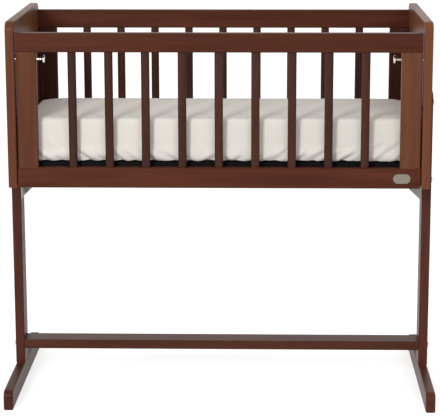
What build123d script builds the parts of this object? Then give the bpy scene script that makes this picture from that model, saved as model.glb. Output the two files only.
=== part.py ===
"""Bedside crib on a T-footed stand, with a slatted drop side and a mattress in a fitted sheet.

Millimetres. X runs along the crib, the drop side faces -Y, and Z is up from the floor.
The origin is on the floor, in the middle of the feet.
"""

from build123d import *
import os

os.makedirs("parts", exist_ok=True)

# Cot box, built round the mattress
mattress_length = 900.0
mattress_width = 396.0
mattress_end_gap = 5.0
mattress_side_gap = 3.5
panel_thickness = 20.0
panel_height = 375.0
panel_corner = 20.0
board_edge = 2.0

# Stand
stand_thickness = 22.0
post_width = 60.0
post_corner = 20.0
foot_length = 500.0
foot_height = 45.0
foot_corner = 17.0
stretcher_thickness = 22.0
stretcher_clearance = 37.0

# Rows of height holes in the posts, counted from 0 at the bottom
hole_first = 277.5
hole_pitch = 37.0
hole_levels = 12
hole_spread = 30.0
bracket_level = 6
post_above_holes = 25.5

# Height brackets
bracket_plate = 3.0
bracket_width = 54.0
bracket_reach = 70.0
bracket_drop = 67.0
bracket_hole_drop = 19.5

# Fixings. Small rounds that repeat are drawn with few sides.
small_round_sides = 10
bolt_diameter = 6.0
bolt_hole = 6.5
bolt_head_diameter = 13.0
bolt_head_height = 3.0
bolt_grip = 40.0
foot_recess_depth = 20.0
foot_recess_diameter = 14.0
insert_diameter = 10.0
insert_length = 13.0
nut_across = 10.0
nut_height = 5.0
screw_diameter = 4.0
screw_head_diameter = 8.0
screw_head_height = 2.4
screw_bite = 12.0
screw_spread = 28.0
bracket_screw_bite = 27.0
thread_gap = 0.1
hole_overrun = 1.0

# Fixed back side and drop side
rail_end_set = 1.0
back_rail_thickness = 20.0
back_rail_drop = 17.0
back_top_rail_height = 44.0
back_stile_thickness = 16.0
gate_rail_thickness = 25.0
gate_rail_drop = 25.0
gate_top_rail_height = 43.0
gate_stile_thickness = 19.0
gate_side_gap = 2.5
bottom_rail_height = 46.0
stile_width = 46.0
stile_edge = 2.5
rail_edge = 2.5
slat_count = 9
slat_width = 19.0
slat_thickness = 12.0
slat_edge = 4.0
gate_slat_pitch = 82.0
back_slat_pitch = 83.7
tenon_width = 13.0
tenon_thickness = 7.0
tenon_length = 12.0
stile_tenon_width = 32.0
tenon_gap = 0.1
mortise_spare_depth = 1.0

# Guides and spring catches of the drop side
gate_travel = 160.0
track_width = 10.0
track_depth = 8.0
track_wall = 1.0
track_overrun = 8.0
track_gap = 0.15
guide_below_catch = 110.0
guide_reach = 6.5
guide_tail_diameter = 6.0
guide_tail_length = 14.0
catch_below_rail = 16.0
knob_diameter = 18.0
knob_thickness = 4.0
catch_neck = 14.0
catch_shaft_diameter = 5.0
catch_nose_diameter = 8.0
catch_nose_reach = 9.5
collar_diameter = 10.0
collar_thickness = 3.0
collar_gap = 1.0
catch_pull = 8.0
catch_bore_diameter = 12.0
catch_bore_depth = 34.0
ferrule_length = 8.0
running_gap = 0.1
spring_diameter = 9.6
spring_wire = 1.2
spring_gap = 0.3

# Base and bedding
cleat_width = 50.0
cleat_height = 42.0
cleat_screw_rise = 26.0
cleat_screw_spread = 240.0
base_rail_thickness = 20.0
base_thickness = 12.0
base_gap = 2.0
base_front_set = 6.0
gate_running_gap = 3.0
mattress_thickness = 104.0
mattress_corner = 45.0
mattress_under_edge = 12.0
mattress_shoulder = 5.0
mattress_brow = 18.0
mattress_crown = 70.0
sheet_thickness = 1.7
soft_gap = 0.3
sheet_hem = 60.0

# Bare plate
badge_length = 39.0
badge_height = 22.0
badge_thickness = 1.5
badge_inset = 22.0

# Heights and faces that follow from the sizes above
cot_length = mattress_length + 2 * (mattress_end_gap + panel_thickness)
rails_depth = gate_rail_thickness + back_rail_thickness + 2 * rail_end_set
cot_depth = mattress_width + 2 * mattress_side_gap + rails_depth
end_x = cot_length / 2
inner_x = end_x - panel_thickness
back_y = cot_depth / 2
stand_out_x = end_x + stand_thickness
post_mid_x = end_x + stand_thickness / 2
post_bottom = foot_height
post_top = hole_first + (hole_levels - 1) * hole_pitch + post_above_holes
stretcher_bottom = foot_height + stretcher_clearance
stretcher_mid = stretcher_bottom + stretcher_thickness / 2
cot_bottom = hole_first + bracket_level * hole_pitch + bracket_hole_drop
cot_top = cot_bottom + panel_height
bottom_rail_top = cot_bottom + bottom_rail_height
back_rail_top = cot_top - back_rail_drop
back_rail_bottom = back_rail_top - back_top_rail_height
gate_rail_top = cot_top - gate_rail_drop
gate_rail_bottom = gate_rail_top - gate_top_rail_height
gate_front = rail_end_set - cot_depth / 2
gate_y = gate_front + gate_rail_thickness / 2
gate_back = gate_front + gate_rail_thickness
gate_x = inner_x - gate_side_gap
back_rail_y = back_y - rail_end_set - back_rail_thickness / 2
back_rail_front = back_rail_y - back_rail_thickness / 2
catch_z = gate_rail_bottom - catch_below_rail
guide_z = catch_z - guide_below_catch
cleat_top = cot_bottom + cleat_height
cleat_x = inner_x - cleat_width
base_top = cleat_top + base_thickness
box_front = gate_back + gate_running_gap
bed_y = (gate_back + back_rail_front) / 2
columns = (-hole_spread / 2, hole_spread / 2)
screw_columns = (-screw_spread / 2, screw_spread / 2)
cleat_columns = (-cleat_screw_spread / 2, cleat_screw_spread / 2)
bracket_screw_x = inner_x - cleat_width / 2
cleat_screw_z = cot_bottom + cleat_screw_rise
cot_bolt_z = hole_first + (hole_levels - 1) * hole_pitch
rail_bolt_heights = ((back_rail_top + back_rail_bottom) / 2, (cot_bottom + bottom_rail_top) / 2)
directions = {"+x": (0, 90, 0), "-x": (0, -90, 0), "+z": (0, 0, 0), "-z": (180, 0, 0)}


def block(x0, x1, y0, y1, z0, z1):
    size = Box(x1 - x0, y1 - y0, z1 - z0)
    return Pos((x0 + x1) / 2, (y0 + y1) / 2, (z0 + z1) / 2) * size


def rod(x, y, z, length, diameter, way):
    """A round bar that starts at a point and runs the given way."""
    return Pos(x, y, z) * Rot(*directions[way]) * extrude(Circle(diameter / 2), length)


def peg(x, y, z, length, diameter, way):
    """A small round bar with few sides, for fixings and their holes."""
    outline = RegularPolygon(diameter / 2, small_round_sides)
    return Pos(x, y, z) * Rot(*directions[way]) * extrude(outline, length)


def mirrored(part):
    return mirror(part, about=Plane.YZ)


def save(name, *solids):
    shape = solids[0] if len(solids) == 1 else Compound(children=list(solids))
    export_step(shape, f"parts/{name}.step")


def bolt(x, y, z, length, way):
    """A furniture bolt whose head starts at a point: a low round head on a plain shank."""
    head = peg(x, y, z, bolt_head_height, bolt_head_diameter, way)
    return head + peg(x, y, z, bolt_head_height + length, bolt_diameter, way)


def screw(x, y, z, length, way):
    """A wood screw whose pan head starts at a point."""
    head = peg(x, y, z, screw_head_height, screw_head_diameter, way)
    return head + peg(x, y, z, screw_head_height + length, screw_diameter, way)


def standing_board(width, bottom, top, corner, thickness):
    """A board across the crib that stands on the outer side of the end_x plane, round at its top corners."""
    outline = Rectangle(width, top - bottom)
    outline = fillet(outline.vertices().group_by(Axis.Y)[-1], corner)
    flat = Plane(origin=(end_x, 0, (top + bottom) / 2), x_dir=(0, 1, 0), z_dir=(1, 0, 0))
    board = extrude(flat * outline, thickness)
    rims = [edge for face in board.faces().filter_by(Axis.X) for edge in face.edges()]
    return chamfer(rims, board_edge)


# Posts
def make_post():
    """The right post, with its two columns of height holes and the holes for its own screws."""
    post = standing_board(post_width, post_bottom, post_top, post_corner, stand_thickness)
    through = stand_thickness + 2 * hole_overrun
    heights = [hole_first + level * hole_pitch for level in range(hole_levels)]
    for y in columns:
        for z in [stretcher_mid] + heights:
            post -= peg(end_x - hole_overrun, y, z, through, bolt_hole, "+x")
        post -= peg(post_mid_x, y, post_bottom, bolt_grip, bolt_diameter + thread_gap, "+z")
    return post


right_post = make_post()
save("right_post", right_post)
save("left_post", mirrored(right_post))


# Feet
def make_foot():
    """A foot that lies front to back under its post, round at both upper ends."""
    foot = standing_board(foot_length, 0, foot_height, foot_corner, stand_thickness)
    for y in columns:
        foot -= peg(post_mid_x, y, 0, foot_recess_depth, foot_recess_diameter, "+z")
        foot -= peg(post_mid_x, y, 0, foot_height, bolt_hole, "+z")
    return foot


right_foot = make_foot()
save("right_foot", right_foot)
save("left_foot", mirrored(right_foot))

# Stretcher between the posts
stretcher = block(-end_x, end_x, -post_width / 2, post_width / 2,
                  stretcher_bottom, stretcher_bottom + stretcher_thickness)
stretcher = chamfer(stretcher.edges().filter_by(Axis.X), board_edge)
for y in columns:
    stretcher -= peg(end_x, y, stretcher_mid, bolt_grip, bolt_diameter + thread_gap, "-x")
    stretcher -= peg(-end_x, y, stretcher_mid, bolt_grip, bolt_diameter + thread_gap, "+x")
save("stretcher", stretcher)

stand_screws = []
for y in columns:
    up = bolt(post_mid_x, y, foot_recess_depth - bolt_head_height,
              foot_height - foot_recess_depth + bolt_grip, "+z")
    inward = bolt(stand_out_x + bolt_head_height, y, stretcher_mid, stand_thickness + bolt_grip, "-x")
    stand_screws += [up, mirrored(up), inward, mirrored(inward)]
save("stand_screws", *stand_screws)


# Height brackets
def make_bracket():
    """The right bracket: two legs at a right angle and one gusset along the front edge."""
    half = bracket_width / 2
    upright = block(end_x - bracket_plate, end_x, -half, half, cot_bottom - bracket_drop, cot_bottom)
    shelf = block(end_x - bracket_reach, end_x, -half, half, cot_bottom - bracket_plate, cot_bottom)
    outline = Polyline((end_x, cot_bottom), (end_x - bracket_reach, cot_bottom),
                       (end_x - bracket_reach, cot_bottom - bracket_plate),
                       (end_x - bracket_plate, cot_bottom - bracket_drop),
                       (end_x, cot_bottom - bracket_drop), close=True)
    gusset = Pos(0, bracket_plate - half, 0) * extrude(Plane.XZ * make_face(outline), bracket_plate)
    bracket = upright + shelf + gusset
    for y in columns:
        bracket -= peg(end_x - bracket_plate - hole_overrun, y, cot_bottom - bracket_hole_drop,
                       bracket_plate + 2 * hole_overrun, bolt_hole, "+x")
    for y in screw_columns:
        bracket -= peg(bracket_screw_x, y, cot_bottom - bracket_plate - hole_overrun,
                       bracket_plate + 2 * hole_overrun, screw_diameter + thread_gap, "+z")
    return bracket


right_bracket = make_bracket()
save("right_height_bracket", right_bracket)
save("left_height_bracket", Rot(0, 0, 180) * right_bracket)

bracket_bolts = []
bracket_nuts = []
bracket_screws = []
nut_outline = RegularPolygon(nut_across / 2, 6, major_radius=False)
nut_outline -= RegularPolygon((bolt_diameter + thread_gap) / 2, small_round_sides)
for y in columns:
    z = cot_bottom - bracket_hole_drop
    through = bolt(stand_out_x + bolt_head_height, y, z, stand_thickness + bracket_plate + nut_height, "-x")
    nut = Pos(end_x - bracket_plate, y, z) * Rot(*directions["-x"]) * extrude(nut_outline, nut_height)
    bracket_bolts += [through, mirrored(through)]
    bracket_nuts += [nut, mirrored(nut)]
for y in screw_columns:
    up = screw(bracket_screw_x, y, cot_bottom - bracket_plate - screw_head_height,
               bracket_plate + bracket_screw_bite, "+z")
    bracket_screws += [up, mirrored(up)]
save("bracket_bolts", *bracket_bolts)
save("bracket_nuts", *bracket_nuts)
save("bracket_screws", *bracket_screws)

# End panels, with the drop side's groove and the holes for their fixings
track_outer = track_width + 2 * track_wall
track_back = track_depth + track_wall
track_top = catch_z + catch_nose_diameter / 2 + track_overrun
track_bottom = guide_z - gate_travel - track_width / 2 - track_overrun


def make_panel():
    panel = standing_board(cot_depth, cot_bottom, cot_top, panel_corner, panel_thickness)
    panel = Pos(-panel_thickness, 0, 0) * panel
    panel -= block(inner_x - hole_overrun, inner_x + track_back,
                   gate_y - track_outer / 2, gate_y + track_outer / 2, track_bottom, track_top)
    for z in rail_bolt_heights:
        panel -= peg(inner_x - hole_overrun, back_rail_y, z, panel_thickness + 2 * hole_overrun,
                     bolt_hole, "+x")
    for y in columns:
        panel -= peg(end_x, y, cot_bolt_z, insert_length, insert_diameter + thread_gap, "-x")
    for y in cleat_columns:
        panel -= peg(inner_x, y, cleat_screw_z, screw_bite, screw_diameter + thread_gap, "+x")
    return panel


right_panel = make_panel()
save("right_end_panel", right_panel)
save("left_end_panel", mirrored(right_panel))

cot_bolts = []
insert_nuts = []
sleeve_outline = RegularPolygon(insert_diameter / 2, small_round_sides)
sleeve_outline -= RegularPolygon((bolt_diameter + thread_gap) / 2, small_round_sides)
for y in columns:
    fixing = bolt(stand_out_x + bolt_head_height, y, cot_bolt_z, stand_thickness + insert_length, "-x")
    sleeve = Pos(end_x, y, cot_bolt_z) * Rot(*directions["-x"]) * extrude(sleeve_outline, insert_length)
    cot_bolts += [fixing, mirrored(fixing)]
    insert_nuts += [sleeve, mirrored(sleeve)]
save("cot_bolts", *cot_bolts)
save("cot_insert_nuts", *insert_nuts)

back_rail_screws = []
for z in rail_bolt_heights:
    side_screw = bolt(end_x + bolt_head_height, back_rail_y, z, panel_thickness + bolt_grip, "-x")
    back_rail_screws += [side_screw, mirrored(side_screw)]
save("back_rail_screws", *back_rail_screws)


# Slatted sides
def slat_places(pitch):
    return [(i - (slat_count - 1) / 2) * pitch for i in range(slat_count)]


def tongued(bar, x, y, low, high, width):
    """An upright bar with a tongue at each end, which its rails' mortises take."""
    return bar + block(x - width / 2, x + width / 2, y - tenon_thickness / 2, y + tenon_thickness / 2,
                       low - tenon_length, high + tenon_length)


def slat(x, y, low, high):
    """A slim bar, well rounded along all four edges."""
    bar = block(x - slat_width / 2, x + slat_width / 2, y - slat_thickness / 2, y + slat_thickness / 2,
                low, high)
    bar = fillet(bar.edges().filter_by(Axis.Z), slat_edge)
    return tongued(bar, x, y, low, high, tenon_width)


def stile(x, y, low, high, thickness):
    """The wide upright at the end of a side, with lightly eased edges."""
    bar = block(x - stile_width / 2, x + stile_width / 2, y - thickness / 2, y + thickness / 2, low, high)
    bar = chamfer(bar.edges().filter_by(Axis.Z), stile_edge)
    return tongued(bar, x, y, low, high, stile_tenon_width)


def rail(half_length, y, low, high, thickness, slats, stile_x, opens_down):
    """A rail with a mortise for each slat and stile, in its lower or upper edge."""
    bar = block(-half_length, half_length, y - thickness / 2, y + thickness / 2, low, high)
    bar = chamfer(bar.edges().filter_by(Axis.X), rail_edge)
    depth = tenon_length + mortise_spare_depth
    half_y = tenon_thickness / 2 + tenon_gap
    z0, z1 = (low, low + depth) if opens_down else (high - depth, high)
    tongues = [(x, tenon_width) for x in slats] + [(x, stile_tenon_width) for x in (-stile_x, stile_x)]
    for x, width in tongues:
        half_x = width / 2 + tenon_gap
        bar -= block(x - half_x, x + half_x, y - half_y, y + half_y, z0, z1)
    return bar


# Fixed back side
back_stile_x = inner_x - stile_width / 2
back_slats = slat_places(back_slat_pitch)
back_rails = [
    rail(inner_x, back_rail_y, back_rail_bottom, back_rail_top, back_rail_thickness,
         back_slats, back_stile_x, True),
    rail(inner_x, back_rail_y, cot_bottom, bottom_rail_top, back_rail_thickness,
         back_slats, back_stile_x, False),
]
for name, board, z in zip(("back_top_rail", "back_bottom_rail"), back_rails, rail_bolt_heights):
    for end, way in ((inner_x, "-x"), (-inner_x, "+x")):
        board -= peg(end, back_rail_y, z, bolt_grip, bolt_diameter + thread_gap, way)
    save(name, board)
for name, x in (("back_left_stile", -back_stile_x), ("back_right_stile", back_stile_x)):
    save(name, stile(x, back_rail_y, bottom_rail_top, back_rail_bottom, back_stile_thickness))
for number, x in enumerate(back_slats, 1):
    save(f"back_slat_{number}", slat(x, back_rail_y, bottom_rail_top, back_rail_bottom))

# Drop side
gate_stile_x = gate_x - stile_width / 2
gate_slats = slat_places(gate_slat_pitch)
save("gate_top_rail", rail(gate_x, gate_y, gate_rail_bottom, gate_rail_top, gate_rail_thickness,
                           gate_slats, gate_stile_x, True))
save("gate_bottom_rail", rail(gate_x, gate_y, cot_bottom, bottom_rail_top, gate_rail_thickness,
                              gate_slats, gate_stile_x, False))


def make_gate_stile():
    """The right stile, bored from its outer edge for the spring catch and the guide."""
    bored = stile(gate_stile_x, gate_y, bottom_rail_top, gate_rail_bottom, gate_stile_thickness)
    bored -= rod(gate_x, gate_y, catch_z, catch_bore_depth, catch_bore_diameter, "-x")
    bored -= rod(gate_x, gate_y, catch_z, stile_width, catch_shaft_diameter + 2 * running_gap, "-x")
    return bored - peg(gate_x, gate_y, guide_z, guide_tail_length, guide_tail_diameter + thread_gap, "-x")


right_stile = make_gate_stile()
save("gate_right_stile", right_stile)
save("gate_left_stile", mirrored(right_stile))
for number, x in enumerate(gate_slats, 1):
    save(f"gate_slat_{number}", slat(x, gate_y, bottom_rail_top, gate_rail_bottom))

# Bare plate on the drop side's lower rail
badge_x = gate_x - badge_inset - badge_length / 2
badge_outline = Pos(badge_x, (cot_bottom + bottom_rail_top) / 2) * SlotOverall(badge_length, badge_height)
save("badge_plate", Pos(0, gate_front, 0) * extrude(Plane.XZ * badge_outline, badge_thickness))


# Tracks, guides and spring catches
def make_track():
    """A channel let into the panel, closed at both ends, that the guide and catch run in."""
    liner = block(inner_x, inner_x + track_back, gate_y - track_outer / 2, gate_y + track_outer / 2,
                  track_bottom, track_top)
    return liner - block(inner_x - hole_overrun, inner_x + track_depth,
                         gate_y - track_width / 2, gate_y + track_width / 2,
                         track_bottom + track_wall, track_top - track_wall)


right_track = make_track()
save("right_gate_track", right_track)
save("left_gate_track", mirrored(right_track))

guide = rod(gate_x, gate_y, guide_z, gate_side_gap + guide_reach, track_width - 2 * track_gap, "+x")
guide += peg(gate_x, gate_y, guide_z, guide_tail_length, guide_tail_diameter, "-x")
save("gate_guides", guide, mirrored(guide))

ferrule = rod(gate_x, gate_y, catch_z, ferrule_length, catch_bore_diameter - thread_gap, "-x")
ferrule -= rod(gate_x, gate_y, catch_z, ferrule_length, catch_nose_diameter + 2 * running_gap, "-x")
save("catch_ferrules", ferrule, mirrored(ferrule))

collar_outer_x = gate_x - ferrule_length - collar_gap
collar_x = collar_outer_x - collar_thickness
knob_x = gate_x - stile_width - catch_neck


def make_catch_pin():
    """The right pin: pull knob, thin shaft, collar that the spring bears on, and nose."""
    knob = rod(knob_x, gate_y, catch_z, knob_thickness, knob_diameter, "-x")
    shaft = rod(knob_x, gate_y, catch_z, collar_x - knob_x, catch_shaft_diameter, "+x")
    collar = peg(collar_x, gate_y, catch_z, collar_thickness, collar_diameter, "+x")
    nose = rod(collar_outer_x, gate_y, catch_z, gate_x + catch_nose_reach - collar_outer_x,
               catch_nose_diameter, "+x")
    return knob + shaft + collar + nose


right_pin = make_catch_pin()
save("right_catch_pin", right_pin)
save("left_catch_pin", mirrored(right_pin))

spring_start = gate_x - catch_bore_depth + spring_gap
spring_length = collar_x - spring_gap - spring_start
spring = peg(spring_start, gate_y, catch_z, spring_length, spring_diameter, "+x")
spring -= peg(spring_start, gate_y, catch_z, spring_length, spring_diameter - 2 * spring_wire, "+x")
save("right_catch_spring", spring)
save("left_catch_spring", mirrored(spring))

# Base frame and board
right_cleat = block(cleat_x, inner_x, box_front, back_rail_front, cot_bottom, cleat_top)
cleat_screws = []
for y in screw_columns:
    right_cleat -= peg(bracket_screw_x, y, cot_bottom, bracket_screw_bite,
                       screw_diameter + thread_gap, "+z")
for y in cleat_columns:
    right_cleat -= peg(cleat_x, y, cleat_screw_z, cleat_width, screw_diameter + thread_gap, "+x")
    fixing = screw(cleat_x - screw_head_height, y, cleat_screw_z, cleat_width + screw_bite, "+x")
    cleat_screws += [fixing, mirrored(fixing)]
save("right_base_cleat", right_cleat)
save("left_base_cleat", mirrored(right_cleat))
save("cleat_screws", *cleat_screws)

save("front_base_rail", block(-cleat_x, cleat_x, box_front, box_front + base_rail_thickness,
                              cot_bottom, cleat_top))
save("back_base_rail", block(-cleat_x, cleat_x, back_rail_front - base_rail_thickness, back_rail_front,
                             cot_bottom, cleat_top))
save("base_board", block(base_gap - inner_x, inner_x - base_gap, box_front + base_front_set,
                         back_rail_front - base_gap, cleat_top, base_top))

# Mattress and fitted sheet
mattress_bottom = base_top + soft_gap + sheet_thickness + soft_gap


def pad(grow):
    """The mattress, grown by a little for the sheet: drawn-in sides and a crowned top."""
    bottom = mattress_bottom - grow
    height = mattress_thickness + 2 * grow
    levels = [(mattress_under_edge, 0.0), (0.0, 0.4), (mattress_shoulder, 0.8),
              (mattress_brow, 0.92), (mattress_crown, 1.0)]
    sections = []
    for inset, share in levels:
        drawn_in = 2 * (grow - inset)
        outline = RectangleRounded(mattress_length + drawn_in, mattress_width + drawn_in, mattress_corner)
        sections.append(Pos(0, bed_y, bottom + share * height) * outline)
    return loft(sections, ruled=True)


save("mattress", pad(0.0))

hem = block(sheet_hem - mattress_length / 2, mattress_length / 2 - sheet_hem,
            bed_y - mattress_width / 2 + sheet_hem, bed_y + mattress_width / 2 - sheet_hem,
            base_top, mattress_bottom)
save("fitted_sheet", pad(soft_gap + sheet_thickness) - pad(soft_gap) - hem)
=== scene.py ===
# %% [markdown]
# A bedside crib in dark stained wood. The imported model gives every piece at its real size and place.
# This lesson dresses those pieces: it rounds the boards, turns the metal parts, sews the bedding, and
# gives each surface its finish. Blender works in metres here, with Z up and the drop side facing -Y.

# %% Load the frame
import math
import random

import bmesh
import bpy
from mathutils import Matrix, Vector


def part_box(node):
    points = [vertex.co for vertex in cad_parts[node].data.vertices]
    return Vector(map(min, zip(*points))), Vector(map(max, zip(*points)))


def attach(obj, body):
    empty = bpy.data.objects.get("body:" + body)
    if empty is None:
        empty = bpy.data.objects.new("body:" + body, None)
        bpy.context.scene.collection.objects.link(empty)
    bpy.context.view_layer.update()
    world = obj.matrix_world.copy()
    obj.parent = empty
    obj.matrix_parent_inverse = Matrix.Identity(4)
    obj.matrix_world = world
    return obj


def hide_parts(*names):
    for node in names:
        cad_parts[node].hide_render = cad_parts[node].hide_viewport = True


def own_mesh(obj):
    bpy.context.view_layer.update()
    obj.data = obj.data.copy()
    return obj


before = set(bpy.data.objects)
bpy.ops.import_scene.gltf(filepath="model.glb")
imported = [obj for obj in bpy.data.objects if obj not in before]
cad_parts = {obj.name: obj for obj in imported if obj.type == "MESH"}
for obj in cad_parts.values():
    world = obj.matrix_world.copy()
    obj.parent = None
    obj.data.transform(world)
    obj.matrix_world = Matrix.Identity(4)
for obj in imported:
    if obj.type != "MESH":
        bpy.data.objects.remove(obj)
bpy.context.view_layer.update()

# %% [markdown]
# The camera stands about four metres away, a little above the cot, and looks slightly down. A long lens
# keeps upright boards nearly parallel, as product pictures do. Turning the camera in three steps, first
# its heading, then its tilt and last a trace of roll, is easier to read than one rotation matrix.

# %% Camera
image_width = 440
focal_pixels = 1751.885
camera_place = Vector((0.098, -4.0895, 1.3157))
camera_heading = math.radians(-1.4115)
camera_tilt = math.radians(12.2984)
camera_roll = math.radians(-0.0953)

camera_data = bpy.data.cameras.new("photo_camera")
camera_data.sensor_width = 36.0
camera_data.lens = focal_pixels * camera_data.sensor_width / image_width
camera = bpy.data.objects.new("photo_camera", camera_data)
turn = Matrix.Rotation(-camera_heading, 4, "Z") @ Matrix.Rotation(math.pi / 2 - camera_tilt, 4, "X")
camera.matrix_world = Matrix.Translation(camera_place) @ turn @ Matrix.Rotation(camera_roll, 4, "Z")
bpy.context.scene.collection.objects.link(camera)
bpy.context.scene.camera = camera
bpy.context.scene.view_settings.view_transform = "Standard"
print("lens", round(camera_data.lens, 2), "mm")

# %% [markdown]
# Shader trees are graphs. A few small helpers keep their code short: they add a node and fill its
# sockets, start a material or a node group, and give the result of a sum or of a mix of two colours.

# %% Shader helpers
def add_node(tree, kind, inputs=None, **settings):
    """A new node. A value in inputs is written on the socket, and a socket in inputs is linked to it."""
    node = tree.nodes.new(kind)
    for name, value in settings.items():
        setattr(node, name, value)
    for name, value in (inputs or {}).items():
        if isinstance(value, bpy.types.NodeSocket):
            tree.links.new(value, node.inputs[name])
        else:
            node.inputs[name].default_value = value
    return node


def new_finish(name, **sockets):
    """A material with one Principled BSDF, and its tree."""
    material = bpy.data.materials.new(name)
    material.use_nodes = True
    tree = material.node_tree
    tree.nodes.clear()
    shader = add_node(tree, "ShaderNodeBsdfPrincipled", sockets)
    output = add_node(tree, "ShaderNodeOutputMaterial")
    tree.links.new(shader.outputs["BSDF"], output.inputs["Surface"])
    return material, tree, shader


def new_group(name, inputs, outputs):
    """A shader node group with its named sockets, and its input and output nodes."""
    group = bpy.data.node_groups.new(name, "ShaderNodeTree")
    for socket, kind, value in inputs:
        made = group.interface.new_socket(socket, in_out="INPUT", socket_type="NodeSocket" + kind)
        if value is not None:
            made.default_value = value
    for socket, kind in outputs:
        group.interface.new_socket(socket, in_out="OUTPUT", socket_type="NodeSocket" + kind)
    return group, group.nodes.new("NodeGroupInput"), group.nodes.new("NodeGroupOutput")


def place_group(tree, group, inputs):
    """One use of a node group in a material."""
    return add_node(tree, "ShaderNodeGroup", inputs, node_tree=group)


def arithmetic(tree, operation, *terms, **settings):
    """The result of a Math node, whose terms are values or sockets."""
    node = add_node(tree, "ShaderNodeMath", dict(enumerate(terms)), operation=operation, **settings)
    return node.outputs[0]


def mixed_colour(tree, share, first, second):
    """A colour that goes from the first to the second with the share. A Mix node has them at 6 and 7."""
    return add_node(tree, "ShaderNodeMix", {0: share, 6: first, 7: second}, data_type="RGBA").outputs[2]


print("shader helpers ready")

# %% [markdown]
# The studio is white behind the crib and dim behind the camera. Rays that only light the object meet a
# soft world that grows brighter overhead. Rays that the camera or a shiny surface sends out meet the
# backdrop: white for the camera, and for reflections white at the back and darker in front, which gives
# the varnish its depth.

# %% World
ambient_level = 0.27
ambient_from_above = 0.74
front_reflection = 0.12
backdrop_edge = 0.3
warm_white = (1.0, 0.985, 0.96, 1.0)
plain_white = (1.0, 1.0, 1.0, 1.0)

world = bpy.data.worlds.new("studio")
bpy.context.scene.world = world
world.use_nodes = True
sky = world.node_tree
sky.nodes.clear()
sky_direction = add_node(sky, "ShaderNodeTexCoord").outputs["Generated"]
sky_axes = add_node(sky, "ShaderNodeSeparateXYZ", {"Vector": sky_direction})
reflected = add_node(sky, "ShaderNodeMapRange", {
    "Value": sky_axes.outputs["Y"], "From Min": -backdrop_edge, "From Max": backdrop_edge,
    "To Min": front_reflection, "To Max": 1.0,
})
rays = add_node(sky, "ShaderNodeLightPath")
shiny = arithmetic(sky, "MAXIMUM", rays.outputs["Is Glossy Ray"], rays.outputs["Is Transmission Ray"])
raised = add_node(sky, "ShaderNodeMapRange", {
    "Value": sky_axes.outputs["Z"], "From Min": 0.0, "From Max": 1.0,
    "To Min": ambient_level, "To Max": ambient_level + ambient_from_above,
})
ambient = add_node(sky, "ShaderNodeBackground", {
    "Color": warm_white, "Strength": raised.outputs["Result"],
})
mirrored_studio = add_node(sky, "ShaderNodeBackground", {
    "Color": plain_white, "Strength": reflected.outputs["Result"],
})
white_backdrop = add_node(sky, "ShaderNodeBackground", {"Color": plain_white, "Strength": 1.0})
lit_or_mirrored = add_node(sky, "ShaderNodeMixShader", {
    0: shiny, 1: ambient.outputs[0], 2: mirrored_studio.outputs[0],
})
seen = add_node(sky, "ShaderNodeMixShader", {
    0: rays.outputs["Is Camera Ray"], 1: lit_or_mirrored.outputs[0], 2: white_backdrop.outputs[0],
})
add_node(sky, "ShaderNodeOutputWorld", {"Surface": seen.outputs[0]})
print("world:", len(sky.nodes), "nodes")

# %% [markdown]
# Two softboxes stand in front, one on each side of the camera and a little above it, as in a product
# studio. Each slat then drops two narrow shadows on the sheet, one to either side, with soft edges. The
# left lamp is the key and stands nearer, so the wood darkens towards the right.

# %% Softboxes
lamp_aim = Vector((0.0, -0.2, 0.62))


def softbox(name, heading, away, height, width, tall, watts):
    """An area lamp at a heading from the front of the crib, in degrees, that faces the cot."""
    lamp_data = bpy.data.lights.new(name, "AREA")
    lamp_data.shape = "RECTANGLE"
    lamp_data.size = width
    lamp_data.size_y = tall
    lamp_data.energy = watts
    lamp = bpy.data.objects.new(name, lamp_data)
    angle = math.radians(heading)
    lamp.location = (lamp_aim.x + math.sin(angle) * away, lamp_aim.y - math.cos(angle) * away, height)
    lamp.rotation_euler = (lamp_aim - lamp.location).to_track_quat("-Z", "Y").to_euler()
    bpy.context.scene.collection.objects.link(lamp)
    return lamp


softboxes = [
    softbox("key_softbox", heading=-24.0, away=2.8, height=1.55, width=0.60, tall=0.75, watts=49.0),
    softbox("fill_softbox", heading=24.0, away=3.6, height=1.80, width=1.0, tall=0.9, watts=17.5),
]
print("softboxes:", [lamp.name for lamp in softboxes])

# %% [markdown]
# The floor is a pale sheet just under the feet. It is matt and takes the crib's soft shadow. A glow that
# only the camera and, weaker, reflections see brings the part outside the shadow up to white.

# %% Floor
floor_half = 12.0
floor_drop = 0.0004
floor_glow = 0.71
floor_mirrored_glow = 0.55
paper_grey = (0.52, 0.52, 0.52, 1.0)

floor_mesh = bpy.data.meshes.new("floor")
floor_signs = ((-1, -1), (1, -1), (1, 1), (-1, 1))
floor_corners = [(x * floor_half, y * floor_half, -floor_drop) for x, y in floor_signs]
floor_mesh.from_pydata(floor_corners, [], [range(4)])
floor = bpy.data.objects.new("floor", floor_mesh)
bpy.context.scene.collection.objects.link(floor)
floor_paper = bpy.data.materials.new("floor_paper")
floor_paper.use_nodes = True
paper = floor_paper.node_tree
paper.nodes.clear()
paper_rays = add_node(paper, "ShaderNodeLightPath")
mirrored_glow = arithmetic(paper, "MULTIPLY", paper_rays.outputs["Is Glossy Ray"], floor_mirrored_glow)
paper_glow = arithmetic(paper, "MULTIPLY_ADD", paper_rays.outputs["Is Camera Ray"], floor_glow, mirrored_glow)
paper_matt = add_node(paper, "ShaderNodeBsdfDiffuse", {"Color": paper_grey})
paper_light = add_node(paper, "ShaderNodeEmission", {"Strength": paper_glow})
paper_both = add_node(paper, "ShaderNodeAddShader", {0: paper_matt.outputs[0], 1: paper_light.outputs[0]})
add_node(paper, "ShaderNodeOutputMaterial", {"Surface": paper_both.outputs[0]})
floor_mesh.materials.append(floor_paper)
print("floor:", 2 * floor_half, "m square")

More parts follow.
